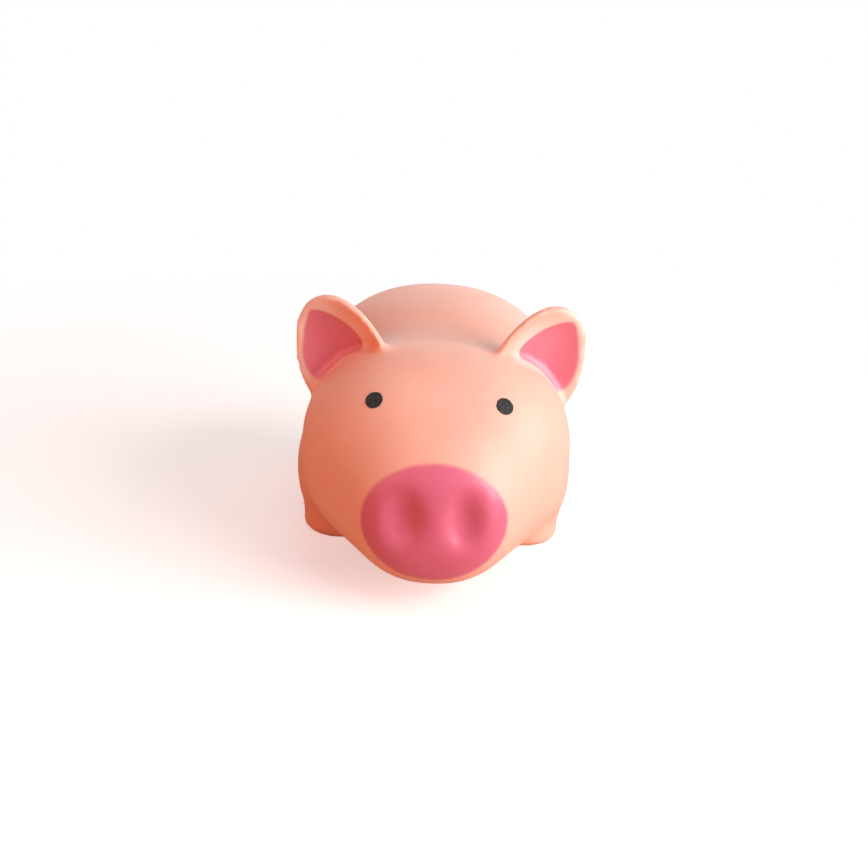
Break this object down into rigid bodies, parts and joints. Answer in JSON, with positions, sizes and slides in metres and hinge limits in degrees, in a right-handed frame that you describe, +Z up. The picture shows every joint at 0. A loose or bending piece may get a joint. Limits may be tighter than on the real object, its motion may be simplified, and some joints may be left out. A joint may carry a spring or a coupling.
{
  "type": "squeaky pet toy",
  "caption": "Hollow soft vinyl pig that squeaks when it is squeezed, with a plastic reed squeaker in its belly.",
  "frame": {"origin": "middle of the bounding box in plan, on the ground under the soles", "axes": "+Z up, the pig looks along -Y, its left side is +X"},
  "size_m": [0.085, 0.1408, 0.0786],
  "materials": {
    "vinyl": "soft vinyl, satin",
    "pink_paint": "sprayed vinyl paint, satin",
    "black_paint": "printed paint, slight gloss",
    "white_plastic": "moulded polythene, satin",
    "reed_film": "clear plastic strip"
  },
  "bodies": {
    "toy": {"vinyl_skin": "vinyl", "snout_paint": "pink_paint", "ear_paint_left": "pink_paint", "ear_paint_right": "pink_paint", "eye_paint_left": "black_paint", "eye_paint_right": "black_paint", "squeaker_case": "white_plastic", "squeaker_cap": "white_plastic", "reed_core": "white_plastic", "reed_wedge": "white_plastic"},
    "reed": {"reed_tongue": "reed_film"}
  },
  "joints": [
    {"name": "reed_flex", "type": "hinge", "parent": "toy", "child": "reed", "pos_m": [0, 0.0145, 0.01184], "axis": [1, 0, 0], "range_deg": [-4, 3], "stiffness_Nm_per_rad": 0.0036}
  ]
}
